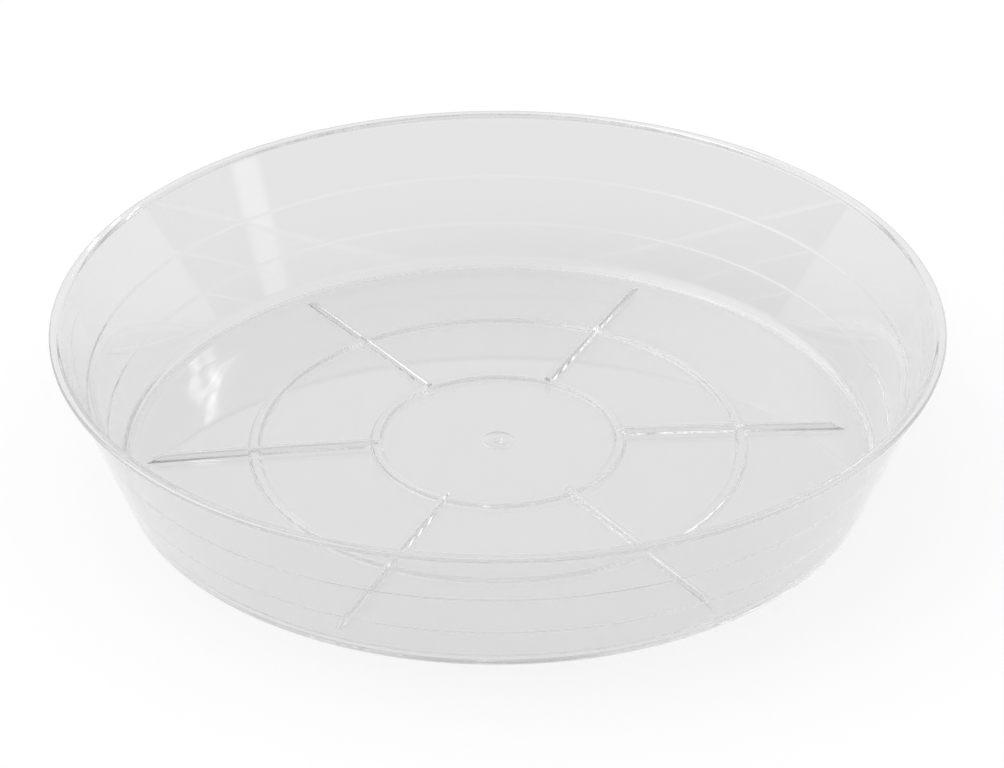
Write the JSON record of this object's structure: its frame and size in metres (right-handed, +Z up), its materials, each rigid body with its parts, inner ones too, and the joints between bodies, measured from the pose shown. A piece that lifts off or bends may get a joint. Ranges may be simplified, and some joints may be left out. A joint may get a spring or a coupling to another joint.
{
  "type": "plant saucer",
  "caption": "Round clear plastic plant saucer with a flared, stepped wall, a narrow lip, and ring and radial ribs on a crowned floor that hold a pot clear of the water.",
  "frame": {"origin": "on the ground, in the middle of the saucer", "axes": "+Z up along the saucer's axis of symmetry, +X along one of the radial ribs"},
  "size_m": [0.25, 0.25, 0.045],
  "materials": {
    "clear_plastic": "clear, colourless and glossy, as moulded against a polished tool"
  },
  "bodies": {
    "root": {"saucer": "clear_plastic"}
  },
  "joints": []
}
